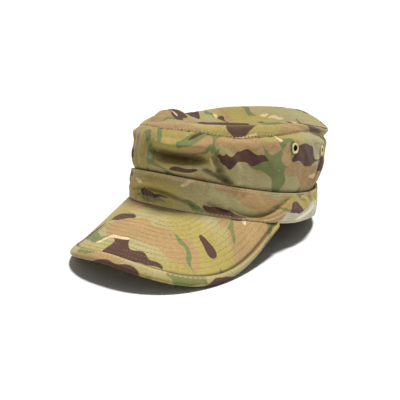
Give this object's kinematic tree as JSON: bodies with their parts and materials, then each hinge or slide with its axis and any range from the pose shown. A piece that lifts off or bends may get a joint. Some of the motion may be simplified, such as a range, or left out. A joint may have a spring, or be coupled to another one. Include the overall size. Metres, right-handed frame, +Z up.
{
  "type": "soft field cap",
  "caption": "Soft cloth kepi-form cap: low oval crown with sunk top panel, headband, stitched and bound peak, side vent eyelets.",
  "frame": {"origin": "under the middle of the cap's outline, on the surface that it rests on", "axes": "+Z up, the peak points to -Y, +X to the wearer's left"},
  "size_m": [0.1668, 0.2942, 0.1156],
  "materials": {
    "crown_cloth": "matte ripstop cotton blend, printed in green, tan, brown and cream patches",
    "band_cloth": "matte ripstop cotton blend, printed, with light topstitching",
    "peak_cloth": "matte ripstop cotton blend over a stiff board, printed, with rows of stitching",
    "eyelet_metal": "olive lacquer, slightly worn, satin"
  },
  "bodies": {
    "root": {"crown_top": "crown_cloth", "shoulder_strip": "crown_cloth", "crown_wall": "crown_cloth", "headband": "band_cloth", "peak": "peak_cloth", "peak_binding": "peak_cloth", "eyelet_left_front": "eyelet_metal", "eyelet_left_rear": "eyelet_metal", "eyelet_right_front": "eyelet_metal", "eyelet_right_rear": "eyelet_metal"}
  },
  "joints": []
}
